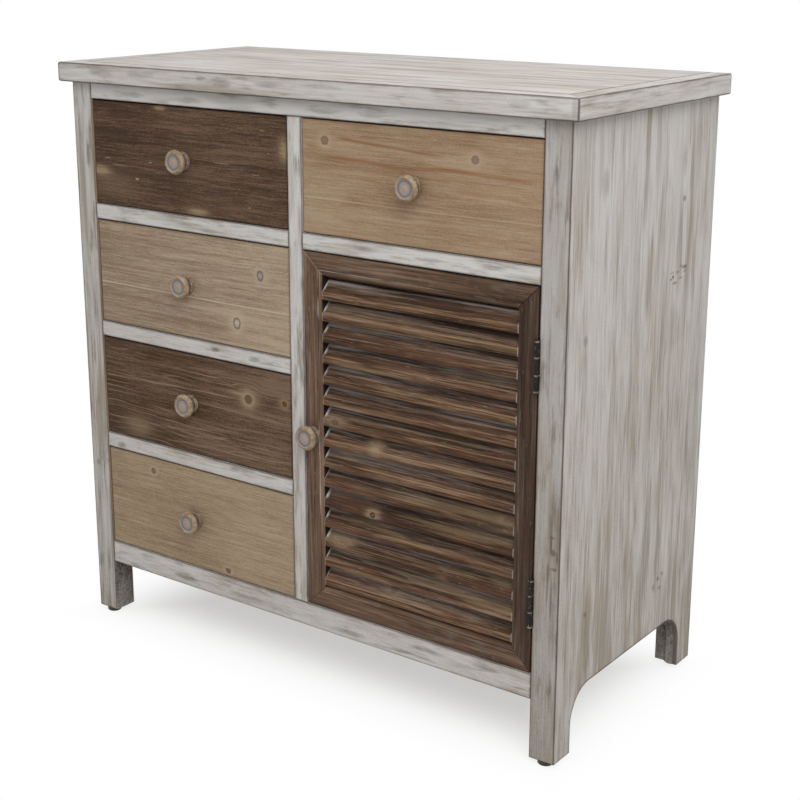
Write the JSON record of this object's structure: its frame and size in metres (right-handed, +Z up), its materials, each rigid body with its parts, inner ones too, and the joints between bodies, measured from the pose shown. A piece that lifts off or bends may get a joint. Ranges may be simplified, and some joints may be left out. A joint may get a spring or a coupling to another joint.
{
  "type": "drawer cabinet",
  "caption": "Rustic floor cabinet with a bank of inset drawers beside a wide drawer over a louvred door, on short legs with arched sides.",
  "frame": {"origin": "on the floor, under the middle of the box that holds the cabinet, knobs included", "axes": "X to the right seen from the front, Y to the back, Z up"},
  "size_m": [0.811, 0.388, 0.807],
  "materials": {
    "whitewashed_wood": "whitewash rubbed through along the grain, matt",
    "dark_stained_wood": "dark brown stain, worn, satin",
    "tan_stained_wood": "weathered tan stain, satin",
    "honey_stained_wood": "honey tan stain, satin",
    "louvre_wood": "espresso stain, arrises worn through, satin",
    "knob_wood": "grey-brown stain, rims worn pale",
    "raw_wood": "unfinished softwood and plywood",
    "black_steel": "black",
    "plate_steel": "plain",
    "black_plastic": "matt black"
  },
  "bodies": {
    "carcass": {"top_panel": "whitewashed_wood", "top_border_front": "whitewashed_wood", "top_border_left": "whitewashed_wood", "top_border_right": "whitewashed_wood", "side_panel_left": "whitewashed_wood", "side_panel_right": "whitewashed_wood", "leg_front_left": "whitewashed_wood", "leg_front_right": "whitewashed_wood", "leg_back_left": "whitewashed_wood", "leg_back_right": "whitewashed_wood", "centre_stile": "whitewashed_wood", "top_rail": "whitewashed_wood", "drawer_rail_upper": "whitewashed_wood", "drawer_rail_middle": "whitewashed_wood", "drawer_rail_lower": "whitewashed_wood", "door_head_rail": "whitewashed_wood", "bottom_rail": "whitewashed_wood", "centre_partition": "raw_wood", "bottom_board": "raw_wood", "back_panel": "raw_wood", "dust_panel": "raw_wood", "drawer_runners": "raw_wood", "drawer_stops": "raw_wood", "foot_glides": "black_plastic", "hinge_frame_leaves": "black_steel", "hinge_pins": "black_steel", "door_catch": "black_plastic"},
    "drawer_first": {"drawer_first_front": "dark_stained_wood", "drawer_first_sides": "raw_wood", "drawer_first_back": "raw_wood", "drawer_first_bottom": "raw_wood", "drawer_first_knob": "knob_wood"},
    "drawer_second": {"drawer_second_front": "tan_stained_wood", "drawer_second_sides": "raw_wood", "drawer_second_back": "raw_wood", "drawer_second_bottom": "raw_wood", "drawer_second_knob": "knob_wood"},
    "drawer_third": {"drawer_third_front": "dark_stained_wood", "drawer_third_sides": "raw_wood", "drawer_third_back": "raw_wood", "drawer_third_bottom": "raw_wood", "drawer_third_knob": "knob_wood"},
    "drawer_fourth": {"drawer_fourth_front": "tan_stained_wood", "drawer_fourth_sides": "raw_wood", "drawer_fourth_back": "raw_wood", "drawer_fourth_bottom": "raw_wood", "drawer_fourth_knob": "knob_wood"},
    "drawer_wide": {"drawer_wide_front": "honey_stained_wood", "drawer_wide_sides": "raw_wood", "drawer_wide_back": "raw_wood", "drawer_wide_bottom": "raw_wood", "drawer_wide_knob": "knob_wood"},
    "door": {"door_stile_hinge": "louvre_wood", "door_stile_latch": "louvre_wood", "door_rail_top": "louvre_wood", "door_rail_bottom": "louvre_wood", "door_slats": "louvre_wood", "hinge_door_leaves": "black_steel", "door_knob": "knob_wood", "catch_plate": "plate_steel"}
  },
  "joints": [
    {"name": "drawer_first_slide", "type": "slide", "parent": "carcass", "child": "drawer_first", "axis": [0, -1, 0], "range_m": [0, 0.24]},
    {"name": "drawer_second_slide", "type": "slide", "parent": "carcass", "child": "drawer_second", "axis": [0, -1, 0], "range_m": [0, 0.24]},
    {"name": "drawer_third_slide", "type": "slide", "parent": "carcass", "child": "drawer_third", "axis": [0, -1, 0], "range_m": [0, 0.24]},
    {"name": "drawer_fourth_slide", "type": "slide", "parent": "carcass", "child": "drawer_fourth", "axis": [0, -1, 0], "range_m": [0, 0.24]},
    {"name": "drawer_wide_slide", "type": "slide", "parent": "carcass", "child": "drawer_wide", "axis": [0, -1, 0], "range_m": [0, 0.24]},
    {"name": "door_hinge", "type": "hinge", "parent": "carcass", "child": "door", "pos_m": [0.3558, -0.1784, 0.35625], "axis": [0, 0, 1], "range_deg": [0, 170]}
  ]
}
